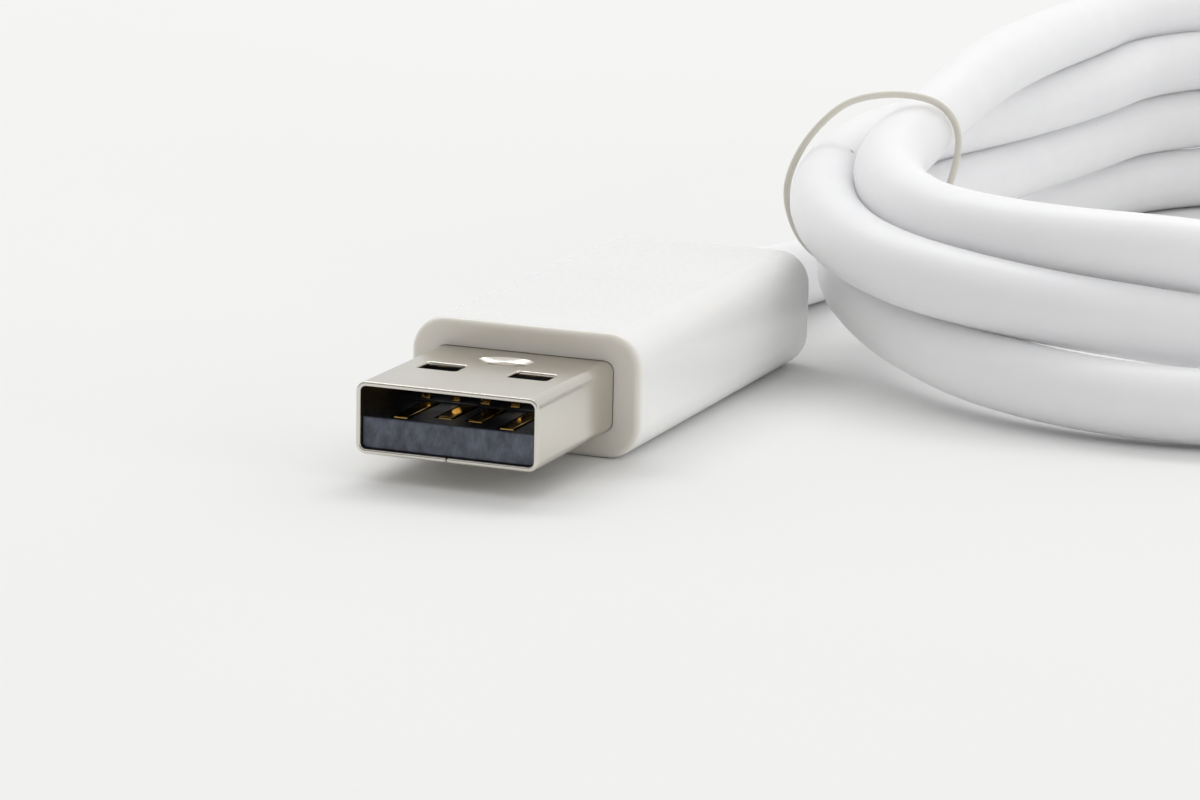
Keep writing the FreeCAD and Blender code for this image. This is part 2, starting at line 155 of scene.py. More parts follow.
def smoothen(piece, angle):
    mergePoints(piece)
    selectOnly(piece)
    bpy.ops.object.shade_smooth_by_angle(angle=math.radians(angle))
    applyModifier(piece, "WEIGHTED_NORMAL", keep_sharp=True)  # broad flats stay flat beside small rounds


def copyPiece(piece, name, shift):
    selectOnly(piece)
    bpy.ops.object.duplicate()
    other = bpy.context.object
    other.name = name
    bpy.ops.transform.translate(value=Vector(shift) * mm)
    bpy.ops.object.transform_apply(location=True, rotation=True, scale=True)
    return other


def addBlock(name, low, high):
    # a plain bar between two corners, to be shaped further
    clearSelection()
    middle = (Vector(low) + Vector(high)) / 2 * mm
    bpy.ops.mesh.primitive_cube_add(size=1, location=middle)
    block = bpy.context.object
    block.name = name
    block.scale = (Vector(high) - Vector(low)) * mm
    bpy.ops.object.transform_apply(location=True, rotation=True, scale=True)
    return block


def addRoundedBar(name, place, width, height, corner, start, end, steps=6):
    # a bar along a plug's axis with its four long edges rounded
    x, y, z = place
    bar = addBlock(name, (x - width / 2, y + start, z - height / 2), (x + width / 2, y + end, z + height / 2))
    bevelEdges(bar, lambda a, b: abs(a.y - b.y) > (end - start) / 2, corner, steps)
    return bar


def addTube(name, place, start, end, rearRadius, frontRadius, sides=48):
    # a round bar along a plug's axis; at its start, the plug's tip side, it has the front radius
    x, y, z = place
    clearSelection()
    bpy.ops.mesh.primitive_cone_add(
        vertices=sides, radius1=rearRadius * mm, radius2=frontRadius * mm, depth=(end - start) * mm,
        location=(x * mm, (y + (start + end) / 2) * mm, z * mm), rotation=(math.radians(90), 0, 0))
    tube = bpy.context.object
    tube.name = name
    bpy.ops.object.transform_apply(location=True, rotation=True, scale=True)
    return tube


def addBall(name, radius, middle):
    clearSelection()
    bpy.ops.mesh.primitive_uv_sphere_add(
        segments=96, ring_count=96, radius=radius * mm, location=Vector(middle) * mm)
    ball = bpy.context.object
    ball.name = name
    bpy.ops.object.transform_apply(location=True, rotation=True, scale=True)
    return ball


def drawRibbon(name, path, across):
    # a plane is merged to a point and drawn out along a path, then the line is drawn across to a ribbon
    clearSelection()
    bpy.ops.mesh.primitive_plane_add(size=1 * mm, location=Vector(path[0]) * mm)
    ribbon = bpy.context.object
    ribbon.name = name
    bpy.ops.object.transform_apply(location=True, rotation=True, scale=True)
    bpy.ops.object.mode_set(mode="EDIT")
    bpy.ops.mesh.select_mode(type="VERT")
    bpy.ops.mesh.select_all(action="SELECT")
    bpy.ops.mesh.merge(type="CENTER")
    for a, b in zip(path, path[1:]):
        bpy.ops.mesh.extrude_region_move(TRANSFORM_OT_translate={"value": (Vector(b) - Vector(a)) * mm})
    bpy.ops.mesh.select_all(action="SELECT")
    bpy.ops.mesh.extrude_region_move(TRANSFORM_OT_translate={"value": Vector(across) * mm})
    leaveEdit()
    return ribbon


def finishPiece(piece, finish, slot, *replaced):
    piece.data.materials.clear()
    piece.data.materials.append(finish)
    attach(piece, "root")
    if replaced:
        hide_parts(*replaced)


# materials
noiseSpan = {"From Min": 0.3, "From Max": 0.7}  # most of a noise pattern lies in this range


def linear(hexColour):
    parts = [int(hexColour[i:i + 2], 16) / 255 for i in (1, 3, 5)]
    return [c / 12.92 if c <= 0.04045 else ((c + 0.055) / 1.055) ** 2.4 for c in parts] + [1.0]


def setNode(tree, node, values=None, links=None):
    for key, value in (values or {}).items():
        node.inputs[key].default_value = value
    for key, socket in (links or {}).items():
        tree.links.new(socket, node.inputs[key])


def addNode(tree, kind, values=None, links=None, colours=(), **settings):
    # colours are the two ends of a colour ramp
    node = tree.nodes.new(kind)
    for key, value in settings.items():
        setattr(node, key, value)
    setNode(tree, node, values, links)
    for end, colour in enumerate(colours):
        node.color_ramp.elements[end].color = linear(colour)
    return node


def startFinish(name):
    finish = bpy.data.materials.new(name)
    finish.use_nodes = True
    tree = finish.node_tree
    shader = tree.nodes["Principled BSDF"]
    place = addNode(tree, "ShaderNodeTexCoord").outputs["Object"]
    return finish, tree, shader, place


def perMm(size):
    # texture scale whose features are about this many millimetres across
    return 1000.0 / size


def nearFace(tree, place, face, fade):
    # 1 at the face that lies across y, falling to 0 over the fade behind it
    along = addNode(tree, "ShaderNodeSeparateXYZ", links={"Vector": place})
    share = addNode(tree, "ShaderNodeMapRange", interpolation_type="SMOOTHSTEP",
                    links={"Value": along.outputs["Y"]},
                    values={"From Min": face * mm, "From Max": (face + fade) * mm,
                            "To Min": 1.0, "To Max": 0.0})
    return share.outputs["Result"]


def makeNickelPlate(name, dark, pale, smooth, rough):
    # nickel plated steel, stamped and barrel plated: satin, with faint upright streaks and soft stains
    finish, tree, shader, place = startFinish(name)
    upright = addNode(tree, "ShaderNodeMapping", links={"Vector": place}, values={"Scale": (1.0, 1.0, 0.12)})
    streaks = addNode(tree, "ShaderNodeTexNoise", links={"Vector": upright.outputs["Vector"]},
                      values={"Scale": perMm(0.22), "Detail": 4.0, "Roughness": 0.6})
    stains = addNode(tree, "ShaderNodeTexNoise", links={"Vector": place},
                     values={"Scale": perMm(2.4), "Detail": 3.0, "Roughness": 0.55})
    grain = addNode(tree, "ShaderNodeTexNoise", links={"Vector": place},
                    values={"Scale": perMm(0.09), "Detail": 2.0})
    colour = addNode(tree, "ShaderNodeValToRGB", links={"Fac": stains.outputs["Fac"]}, colours=(dark, pale))
    gloss = addNode(tree, "ShaderNodeMapRange", links={"Value": streaks.outputs["Fac"]},
                    values={**noiseSpan, "To Min": smooth, "To Max": rough})
    bump = addNode(tree, "ShaderNodeBump", links={"Height": grain.outputs["Fac"]},
                   values={"Strength": 0.015, "Distance": 0.01 * mm})
    setNode(tree, shader, values={"Metallic": 1.0},
            links={"Base Color": colour.outputs["Color"], "Roughness": gloss.outputs["Result"],
                   "Normal": bump.outputs["Normal"]})
    return finish


# the tip face is scuffed and painted lighter; the tongue behind it stays darker as painted shade inside the
# shell
tipWearAndShade = {"face": -23.7, "fade": 0.15, "from": 0.32, "to": 0.72}


def makeBlackInsulator():
    # glass filled polyester, moulded: black and satin; plugging in has scuffed the tongue's tip
    # to a cloudy blue grey, painted lighter still as painted light, and the darker rest is painted shade
    # inside the shell
    finish, tree, shader, place = startFinish("mouldedPolyesterBlack")
    upright = addNode(tree, "ShaderNodeMapping", links={"Vector": place}, values={"Scale": (1.0, 1.0, 0.55)})
    clouds = addNode(tree, "ShaderNodeTexNoise", links={"Vector": upright.outputs["Vector"]},
                     values={"Scale": perMm(0.6), "Detail": 5.0, "Roughness": 0.65, "Distortion": 0.3})
    scuffs = addNode(tree, "ShaderNodeTexNoise", links={"Vector": place},
                     values={"Scale": perMm(0.16), "Detail": 3.0, "Roughness": 0.65})
    scuffed = addNode(tree, "ShaderNodeValToRGB", links={"Fac": clouds.outputs["Fac"]},
                      colours=("#353943", "#6a707f"))
    scuffed.color_ramp.elements[0].position = tipWearAndShade["from"]
    scuffed.color_ramp.elements[1].position = tipWearAndShade["to"]
    moulded = addNode(tree, "ShaderNodeValToRGB", links={"Fac": clouds.outputs["Fac"]},
                      colours=("#15161a", "#24262c"))
    colour = addNode(tree, "ShaderNodeMix", data_type="RGBA",
                     links={"Factor": nearFace(tree, place, tipWearAndShade["face"], tipWearAndShade["fade"]),
                            "A": moulded.outputs["Color"], "B": scuffed.outputs["Color"]})
    gloss = addNode(tree, "ShaderNodeMapRange", links={"Value": clouds.outputs["Fac"]},
                    values={**noiseSpan, "To Min": 0.34, "To Max": 0.52})
    bump = addNode(tree, "ShaderNodeBump", links={"Height": scuffs.outputs["Fac"]},
                   values={"Strength": 0.18, "Distance": 0.03 * mm})
    setNode(tree, shader,
            links={"Base Color": colour.outputs["Result"], "Roughness": gloss.outputs["Result"],
                   "Normal": bump.outputs["Normal"]})
    return finish


def makeGoldFlash():
    # gold flash over nickel on brass strip, stamped: bright, with fine rolling lines along the strip
    finish, tree, shader, place = startFinish("goldFlashedBrass")
    drawn = addNode(tree, "ShaderNodeMapping", links={"Vector": place}, values={"Scale": (1.0, 0.08, 1.0)})
    lines = addNode(tree, "ShaderNodeTexNoise", links={"Vector": drawn.outputs["Vector"]},
                    values={"Scale": perMm(0.12), "Detail": 3.0})
    colour = addNode(tree, "ShaderNodeValToRGB", links={"Fac": lines.outputs["Fac"]},
                     colours=("#dcae4e", "#f2d082"))
    gloss = addNode(tree, "ShaderNodeMapRange", links={"Value": lines.outputs["Fac"]},
                    values={**noiseSpan, "To Min": 0.1, "To Max": 0.18})
    setNode(tree, shader, values={"Metallic": 1.0},
            links={"Base Color": colour.outputs["Color"], "Roughness": gloss.outputs["Result"]})
    return finish


# painted warm shade on the overmould's front face, fading out a short way behind it
warmShadeFace = {"face": -11.85, "fade": 0.6}


def makeWhiteOvermould():
    # white thermoplastic elastomer, moulded in a polished tool: glossy, with slow waves from shrinkage;
    # the front face is painted warmer and darker: painted shade, with a painted warm glow at its edge
    finish, tree, shader, place = startFinish("polishedWhiteElastomer")
    waves = addNode(tree, "ShaderNodeTexNoise", links={"Vector": place},
                    values={"Scale": perMm(7.0), "Detail": 2.0, "Roughness": 0.4})
    fine = addNode(tree, "ShaderNodeTexNoise", links={"Vector": place},
                   values={"Scale": perMm(0.35), "Detail": 3.0})
    white = addNode(tree, "ShaderNodeValToRGB", links={"Fac": waves.outputs["Fac"]},
                    colours=("#f3f3f1", "#f7f7f5"))
    warm = addNode(tree, "ShaderNodeValToRGB", links={"Fac": waves.outputs["Fac"]},
                   colours=("#e6e1d8", "#ebe7df"))
    colour = addNode(tree, "ShaderNodeMix", data_type="RGBA",
                     links={"Factor": nearFace(tree, place, warmShadeFace["face"], warmShadeFace["fade"]),
                            "A": white.outputs["Color"], "B": warm.outputs["Color"]})
    gloss = addNode(tree, "ShaderNodeMapRange", links={"Value": fine.outputs["Fac"]},
                    values={**noiseSpan, "To Min": 0.16, "To Max": 0.24})
    bump = addNode(tree, "ShaderNodeBump", links={"Height": waves.outputs["Fac"]},
                   values={"Strength": 0.08, "Distance": 0.2 * mm})
    setNode(tree, shader,
            values={"IOR": 1.5, "Subsurface Weight": 0.4, "Subsurface Radius": (1.0, 0.88, 0.7),
                    "Subsurface Scale": 1.2 * mm},
            links={"Base Color": colour.outputs["Result"], "Roughness": gloss.outputs["Result"],
                   "Normal": bump.outputs["Normal"]})
    return finish


def makeWhiteJacket():
    # soft white cable jacket, extruded: half matt, slightly cool, with a faint ripple and a few dust specks
    finish, tree, shader, place = startFinish("extrudedWhiteJacket")
    ripple = addNode(tree, "ShaderNodeTexNoise", links={"Vector": place},
                     values={"Scale": perMm(3.0), "Detail": 2.0, "Roughness": 0.45})
    skin = addNode(tree, "ShaderNodeTexNoise", links={"Vector": place},
                   values={"Scale": perMm(0.25), "Detail": 3.0})
    dust = addNode(tree, "ShaderNodeTexVoronoi", links={"Vector": place}, values={"Scale": perMm(8.3)})
    speck = addNode(tree, "ShaderNodeMapRange", links={"Value": dust.outputs["Distance"]},
                    values={"From Min": 0.012, "From Max": 0.03, "To Min": 1.0, "To Max": 0.0})
    tint = addNode(tree, "ShaderNodeValToRGB", links={"Fac": ripple.outputs["Fac"]},
                   colours=("#f2f2f4", "#f7f7f9"))
    dusty = addNode(tree, "ShaderNodeMix", data_type="RGBA", values={"B": linear("#b9b7b0")},
                    links={"Factor": speck.outputs["Result"], "A": tint.outputs["Color"]})
    gloss = addNode(tree, "ShaderNodeMapRange", links={"Value": skin.outputs["Fac"]},
                    values={**noiseSpan, "To Min": 0.36, "To Max": 0.5})
    bump = addNode(tree, "ShaderNodeBump", links={"Height": ripple.outputs["Fac"]},
                   values={"Strength": 0.1, "Distance": 0.2 * mm})
    setNode(tree, shader,
            values={"IOR": 1.48, "Subsurface Weight": 1.0, "Subsurface Radius": (1.0, 0.97, 0.94),
                    "Subsurface Scale": 3.0 * mm},
            links={"Base Color": dusty.outputs["Result"], "Roughness": gloss.outputs["Result"],
                   "Normal": bump.outputs["Normal"]})
    return finish


def makeTinnedBraid():
    # tinned copper braid: bright wires of about 0.1 mm, drawn as diagonal bands 0.3 mm apart
    # so that they show
    finish, tree, shader, place = startFinish("tinnedCopperBraid")
    wires = addNode(tree, "ShaderNodeTexWave", links={"Vector": place}, bands_direction="DIAGONAL",
                    values={"Scale": perMm(0.3) / math.tau, "Distortion": 0.4, "Detail": 1.0})
    colour = addNode(tree, "ShaderNodeValToRGB", links={"Fac": wires.outputs["Fac"]},
                     colours=("#6f6a62", "#c9c6bf"))
    bump = addNode(tree, "ShaderNodeBump", links={"Height": wires.outputs["Fac"]},
                   values={"Strength": 0.6, "Distance": 0.06 * mm})
    setNode(tree, shader, values={"Metallic": 1.0, "Roughness": 0.32},
            links={"Base Color": colour.outputs["Color"], "Normal": bump.outputs["Normal"]})
    return finish


def makeBoard():
    # glass epoxy board under solder mask: green, with the weave just showing at 0.4 mm
    finish, tree, shader, place = startFinish("glassEpoxyBoard")
    weave = addNode(tree, "ShaderNodeTexChecker", links={"Vector": place},
                    values={"Scale": perMm(0.4), "Color1": linear("#14532f"), "Color2": linear("#1b6439")})
    setNode(tree, shader, values={"Roughness": 0.3}, links={"Base Color": weave.outputs["Color"]})
    return finish


def makeMottled(name, patch, detail, dark, pale, smooth, rough):
    # one soft pattern moves both the colour and the gloss
    finish, tree, shader, place = startFinish(name)
    patches = addNode(tree, "ShaderNodeTexNoise", links={"Vector": place},
                      values={"Scale": perMm(patch), "Detail": detail})
    colour = addNode(tree, "ShaderNodeValToRGB", links={"Fac": patches.outputs["Fac"]}, colours=(dark, pale))
    gloss = addNode(tree, "ShaderNodeMapRange", links={"Value": patches.outputs["Fac"]},
                    values={**noiseSpan, "To Min": smooth, "To Max": rough})
    setNode(tree, shader,
            links={"Base Color": colour.outputs["Color"], "Roughness": gloss.outputs["Result"]})
    return finish


def makeWireSleeve(name, dark, pale):
    # polyvinyl wire sleeve, extruded: half glossy, its colour a little uneven
    return makeMottled(name, patch=0.8, detail=2.0, dark=dark, pale=pale, smooth=0.32, rough=0.44)


nickelPlate = makeNickelPlate("nickelPlatedSteel", "#d7d3ca", "#dedad1", smooth=0.2, rough=0.25)
# plating reaches only thinly inside the shell, and its inner faces are painted much darker and duller as
# painted shade
nickelShadedInside = makeNickelPlate("thinPlatedSteelShaded", "#6d6860", "#807a71", smooth=0.3, rough=0.38)
blackInsulator = makeBlackInsulator()
goldFlash = makeGoldFlash()
whiteOvermould = makeWhiteOvermould()
whiteJacket = makeWhiteJacket()
# thin elastic band, extruded: beige grey and half matt, in uneven patches
tieBand = makeMottled("beigeElasticBand", patch=1.6, detail=3.0, dark="#dfdacc", pale="#eae6db",
                      smooth=0.38, rough=0.55)
tinnedBraid = makeTinnedBraid()
# natural polyethylene, low pressure moulded: milky and waxy, with cloudy patches
innerMould = makeMottled("naturalPolyethylene", patch=1.8, detail=4.0, dark="#cfcabb", pale="#e6e2d6",
                         smooth=0.35, rough=0.5)
circuitBoard = makeBoard()
# thick film resistor on alumina: black glaze, evenly glossy, with pale speckle
chipResistor = makeMottled("glazedChipResistor", patch=0.12, detail=2.0, dark="#1a1a1c", pale="#3b3b40",
                           smooth=0.25, rough=0.25)
wireSleeves = {
    "power": makeWireSleeve("redWireSleeve", "#9c1f1d", "#b52b27"),
    "data_minus": makeWireSleeve("whiteWireSleeve", "#d8d6d0", "#e8e6e1"),
    "data_plus": makeWireSleeve("greenWireSleeve", "#1f6b3a", "#2b8049"),
    "ground": makeWireSleeve("blackWireSleeve", "#161617", "#28282b"),
}
print("materials made")


# cable: one spline from the type A plug, three and a half turns of the hank, and out to the type C plug
cable = {
    "diameter": 4.9,
    "length": 0.93,
    "exit": (0, 24.1, 4.0),
    "hankX": 31.0,
    "nearY": 32.9,
    "farY": 85.9,
    "sidePlaces": (0.1, 0.366, 0.633, 0.9),
    "turnSteps": 6,
    "lead": [(0, 5.9, 4.0), (0, 24.1, 4.0), (0, 31.9, 3.2), (0.2, 38.6, 2.5), (1.3, 44.7, 2.5)],
    "tail": [(57.0, 101.4, 6.0), (68.8, 92.5, 4.2), (75.8, 82.8, 3.6), (78.0, 71.1, 3.3),
             (78.35, 59.9, 3.2), (78.35, 48.85, 3.2)],
    # laps counted from the tie, distance from the hank's middle line, height
    "turns": [
        (0.15, 25.5, 2.45), (0.22, 22.0, 2.45), (0.28, 18.6, 2.45), (0.34, 17.0, 2.45), (0.42, 18.8, 2.45),
        (0.50, 22.9, 2.45), (0.60, 24.8, 2.45), (0.75, 25.4, 2.75), (0.857, 25.8, 2.6), (0.88, 25.2, 2.55),
        (0.905, 23.0, 3.4), (0.942, 22.0, 4.3), (0.968, 23.3, 5.2),
        (1.00, 23.2, 7.7), (1.06, 22.9, 7.9), (1.15, 21.9, 7.4), (1.25, 19.4, 7.3), (1.33, 18.8, 7.3),
        (1.42, 19.4, 7.4), (1.50, 19.8, 6.7), (1.60, 19.4, 2.6), (1.72, 19.4, 2.6), (1.80, 20.4, 4.25),
        (1.857, 20.8, 6.82), (1.88, 21.4, 7.3), (1.905, 23.4, 8.3), (1.93, 24.6, 8.85), (1.968, 25.1, 9.9),
        (2.00, 25.3, 12.6), (2.04, 25.4, 12.9), (2.10, 22.9, 12.35), (2.17, 20.4, 12.15), (2.25, 18.6, 12.1),
        (2.33, 19.9, 12.1), (2.42, 22.2, 11.5), (2.50, 24.4, 9.2), (2.60, 22.1, 7.0), (2.72, 22.0, 7.1),
        (2.80, 19.8, 9.2), (2.857, 18.4, 11.42), (2.877, 18.8, 11.48), (2.908, 19.7, 11.35),
        (2.93, 20.4, 11.4), (2.96, 20.8, 12.1),
        (3.00, 20.9, 13.6), (3.06, 20.7, 16.0), (3.11, 20.7, 17.0), (3.18, 20.7, 16.85), (3.25, 20.5, 16.5),
        (3.31, 22.0, 16.1), (3.355, 25.2, 15.3), (3.40, 29.4, 13.0),
    ],
}


def turnSize(lap):
    turns = cable["turns"]
    for (lap0, reach0, height0), (lap1, reach1, height1) in zip(turns, turns[1:]):
        if lap <= lap1:
            share = (lap - lap0) / (lap1 - lap0)
            return reach0 + share * (reach1 - reach0), height0 + share * (height1 - height0)


def hankPoints():
    # each lap runs up the left side, round the far end, down the right side and round the near end
    points = []
    steps = cable["turnSteps"]
    bends = [(step + 0.5) / steps for step in range(steps)]
    outward = 1 / math.cos(math.pi / steps / 2)  # a spline runs inside its points
    first = cable["turns"][0][0]
    last = cable["turns"][-1][0]
    run = cable["farY"] - cable["nearY"]
    for quarter in range(4 * math.ceil(last)):
        side = quarter % 4
        for share in (bends if side % 2 else cable["sidePlaces"]):
            lap = (quarter + share) / 4
            if not first <= lap <= last:
                continue
            reach, height = turnSize(lap)
            if side == 0:
                points.append((cable["hankX"] - reach, cable["nearY"] + run * share, height))
            elif side == 2:
                points.append((cable["hankX"] + reach, cable["farY"] - run * share, height))
            else:
                angle = math.pi * (1 - share) if side == 1 else -math.pi * share
                middle = cable["farY"] if side == 1 else cable["nearY"]
                points.append((cable["hankX"] + outward * reach * math.cos(angle),
                               middle + outward * reach * math.sin(angle), height))
    return points


def makeCable():
    line = bpy.data.curves.new("cable", "CURVE")
    line.dimensions = "3D"
    points = cable["lead"] + hankPoints() + cable["tail"]
    spline = line.splines.new("NURBS")
    spline.points.add(len(points) - 1)
    for knot, point in zip(spline.points, points):
        knot.co = (*(c * mm for c in point), 1)
    spline.order_u = 3
    spline.use_endpoint_u = True
    spline.resolution_u = 10
    line.bevel_depth = cable["diameter"] / 2 * mm
    line.bevel_resolution = 8
    line.use_fill_caps = True
    piece = bpy.data.objects.new("cable", line)
    bpy.context.scene.collection.objects.link(piece)
    return piece


cablePiece = makeCable()
finishPiece(cablePiece, whiteJacket, "white_jacket", "cord_lead", "cord_coil", "cord_tail")
print("cable laid,", len(cablePiece.data.splines[0].points), "points")


# tie: a thin round band drawn round three passes of the cable, across their slant
tie = {
    "place": (8.2, 33.1),
    "turn": 35.0,
    "thickness": 0.5,
    # across and height, from the lowest place up the right side and back down the left
    "outline": [
        (0.2, 4.45), (2.2, 5.0), (3.7, 6.6), (4.9, 9.0), (5.8, 11.5), (6.15, 13.7), (5.75, 15.3),
        (4.6, 16.55), (2.9, 17.1), (0.9, 17.3), (-1.1, 17.1), (-2.65, 16.6), (-4.1, 15.4), (-5.45, 13.85),
        (-6.45, 11.8), (-6.7, 10.0), (-6.05, 7.9), (-5.0, 6.3), (-3.2, 5.1), (-1.5, 4.6),
    ],
}


def makeTie():
    # a ring of points is pulled to the outline, then swept round
    clearSelection()
    bpy.ops.mesh.primitive_circle_add(vertices=len(tie["outline"]), radius=cable["diameter"] * mm)
    ring = bpy.context.object
    ring.name = "tieBand"
    turn = math.radians(tie["turn"])
    x, y = tie["place"]
    for vertex, (across, height) in zip(ring.data.vertices, tie["outline"]):
        vertex.co = Vector((x + across * math.cos(turn), y + across * math.sin(turn), height)) * mm
    applyModifier(ring, "SUBSURF", levels=3, render_levels=3)
    bpy.ops.object.convert(target="CURVE")
    ring.data.bevel_depth = tie["thickness"] / 2 * mm
    ring.data.bevel_resolution = 4
    bpy.ops.object.convert(target="MESH")
    smoothen(ring, angle=60)
    return ring


tiePiece = makeTie()
finishPiece(tiePiece, tieBand, "tie_plastic", "coil_tie")
print("tie made")


# type A plug: tip at y -24.1, axis 4 above the floor
plugA = {"place": (0.0, -24.1, 4.0)}
shellA = {
    "width": 12.0, "height": 4.5, "wall": 0.3, "corner": 0.65, "end": 18.5,
    "rimRound": 0.11, "innerSkin": 0.24,
    "windowWidth": 2.65, "windowLength": 1.95, "windowCorner": 0.22,
    "windowSetback": 5.16, "windowSpacing": 6.0,
    "dimpleRadius": 2.0, "dimpleDepth": 0.44, "dimpleStretch": 1.5, "dimpleSetback": 9.25,
    "seam": [(0, -0.5), (0, 8.4), (1.1, 8.05), (1.1, 10.75), (0, 10.4), (0, 19.0)],
    "seamGap": 0.06, "seamBelow": 0.5, "seamAbove": 0.1,
    "stripWidth": 3.0, "stripLap": 0.4,
    "barrelStart": 26.6, "barrelEnd": 29.6, "barrelRadius": 2.1, "barrelWall": 0.3, "barrelOpening": 0.7,
}


def foldShell(name, size, place, steps):
    # a rounded bar loses both ends, and its skin gets the wall's thickness inwards
    shell = addRoundedBar(name, place, size["width"], size["height"], size["corner"], 0, size["end"], steps)
    pickFaces(shell, lambda centre, normal: abs(normal.y) > facing)
    bpy.ops.mesh.delete(type="FACE")
    leaveEdit()
    applyModifier(shell, "SOLIDIFY", thickness=size["wall"] * mm, offset=-1, use_even_offset=True)
    return shell


def roundRims(shell, size, segments):
    applyModifier(shell, "BEVEL", width=size["rimRound"] * mm, segments=segments, limit_method="ANGLE",
                  angle_limit=math.radians(rimAngle), use_clamp_overlap=False)


def cutWindow(shell, middle):
    # one cut goes through roof and floor
    s = shellA
    x, y, z = plugA["place"]
    half = s["windowWidth"] / 2
    start = y + s["windowSetback"]
    tool = addBlock("windowTool", (x + middle - half, start, z - s["height"]),
                    (x + middle + half, start + s["windowLength"], z + s["height"]))
    bevelEdges(tool, lambda a, b: abs(a.z - b.z) > s["height"], s["windowCorner"], segments=4)
    carve(shell, tool)


def addDimpleBall(name, skin):
    s = shellA
    x, y, z = plugA["place"]
    roof = z + s["height"] / 2
    middle = (x, y + s["dimpleSetback"], roof - s["dimpleDepth"] + s["dimpleRadius"])
    radius = s["dimpleRadius"] + skin
    ball = addBall(name, radius, middle)
    pickFaces(ball, lambda centre, normal: True)
    wide = (s["dimpleRadius"] * s["dimpleStretch"] + skin) / radius
    bpy.ops.transform.resize(value=(wide, 1, 1), center_override=Vector(middle) * mm)
    leaveEdit()
    return ball


def pressDimple(shell):
    # the press pushes a shallow oval cap down from the roof, and its underside bulges below
    s = shellA
    x, y, z = plugA["place"]
    roof = z + s["height"] / 2
    bulge = addDimpleBall("bulge", s["wall"])
    reach = s["width"] / 2
    keep = addBlock("keep", (x - reach, y, z), (x + reach, y + s["end"], roof - s["wall"] / 2))
    carve(bulge, keep, "INTERSECT")
    carve(shell, bulge, "UNION")
    carve(shell, addDimpleBall("press", 0))


def cutSeam(shell):
    s = shellA
    x, y, z = plugA["place"]
    under = z - s["height"] / 2 - s["seamBelow"]
    rise = s["seamBelow"] + s["wall"] + s["seamAbove"]
    tool = drawRibbon("seamTool", [(x + a, y + b, under) for a, b in s["seam"]], (0, 0, rise))
    applyModifier(tool, "SOLIDIFY", thickness=s["seamGap"] * mm, offset=0, use_even_offset=True)
    carve(shell, tool)


def addCrimp(shell):
    # a strip runs back from the floor to an open barrel that closes round the braid
    s = shellA
    place = plugA["place"]
    x, y, z = place
    half = s["stripWidth"] / 2
    floor = z - s["height"] / 2
    outer = s["barrelRadius"] + s["barrelWall"]
    strip = addBlock("strip", (x - half, y + s["end"] - s["stripLap"], floor),
                     (x + half, y + s["barrelStart"] + s["stripLap"], floor + s["wall"]))
    pickFaces(strip, lambda centre, normal: normal.y > facing)
    bpy.ops.transform.translate(value=(0, 0, (s["height"] / 2 - outer) * mm))
    leaveEdit()
    start, end = s["barrelStart"], s["barrelEnd"]
    barrel = addTube("barrel", place, start, end, outer, outer)
    bore = addTube("bore", place, start - overrun, end + overrun, s["barrelRadius"], s["barrelRadius"])
    carve(barrel, bore)
    half = s["barrelOpening"] / 2
    slot = addBlock("slot", (x - half, y + start - overrun, z),
                    (x + half, y + end + overrun, z + outer + overrun))
    carve(barrel, slot)
    carve(strip, barrel, "UNION")
    carve(shell, strip, "UNION")


def makeShellA():
    s = shellA
    shell = foldShell("shellA", s, plugA["place"], steps=8)
    for side in (-1, 1):
        cutWindow(shell, side * s["windowSpacing"] / 2)
    cutSeam(shell)
    roundRims(shell, s, segments=5)
    pressDimple(shell)
    addCrimp(shell)
    smoothen(shell, angle=24)
    return shell


def shadeInside(shell):
    # the inner faces get the thin plating, painted darker as painted shade inside the shell
    s = shellA
    x, y, z = plugA["place"]
    reachX = s["width"] / 2 - s["innerSkin"]
    reachZ = s["height"] / 2 - s["innerSkin"]
    shell.data.materials.append(nickelShadedInside)
    pickFaces(shell, lambda centre, normal: abs(centre.x - x) < reachX and abs(centre.z - z) < reachZ
              and s["rimRound"] < centre.y - y < s["end"] - s["rimRound"])
    shell.active_material_index = 1
    bpy.ops.object.material_slot_assign()
    leaveEdit()


shellPiece = makeShellA()
finishPiece(shellPiece, nickelPlate, "plated_steel", "plug_a_shell")
shadeInside(shellPiece)
print("type A shell made")


tongueA = {
    "width": 11.4, "height": 3.9, "corner": 0.35, "tip": 0.35, "cavity": 9.0, "end": 17.9,
    "top": 0.0, "edge": 0.1, "grooveMargin": 0.22, "grooveDepth": 0.2,
    "ledge": 5.8, "ledgeRise": 0.15, "ledgeEdge": 0.08, "channelLap": 0.3, "rearChannelLap": 0.5,
}
contactsA = {
    "width": 0.86, "thickness": 0.25, "proud": 0.05, "end": 20.9, "nose": 0.15, "edge": 0.05,
    "offsets": {"power": -3.5, "data_minus": -1.0, "data_plus": 1.0, "ground": 3.5},
    "setbacks": {"power": 1.1, "data_minus": 2.1, "data_plus": 2.1, "ground": 1.1},
}
rearContactsA = {
    "count": 5, "pitch": 2.0, "width": 0.6, "thickness": 0.15, "bend": 0.16, "edge": 0.03, "edgeAngle": 60,
    "path": [(5.98, 0.16), (6.37, 0.775), (6.74, 0.775), (9.0, 0.475), (19.1, 0.475)],
}


def cutContactSeats(tongue):
    # each flat contact lies in a wide groove, and behind the ledge in a channel of its own width
    t, c = tongueA, contactsA
    x, y, z = plugA["place"]
    half = c["width"] / 2
    wide = half + t["grooveMargin"]
    top = z + t["top"]
    low = top - t["grooveDepth"]
    for role, offset in c["offsets"].items():
        middle = x + offset
        groove = addBlock("groove", (middle - wide, y + c["setbacks"][role] - t["grooveMargin"], low),
                          (middle + wide, y + t["ledge"], top + overrun))
        carve(tongue, groove)
        channel = addBlock("channel", (middle - half, y + t["ledge"] - t["channelLap"], low),
                           (middle + half, y + t["end"] + overrun, top + c["proud"]))
        carve(tongue, channel)


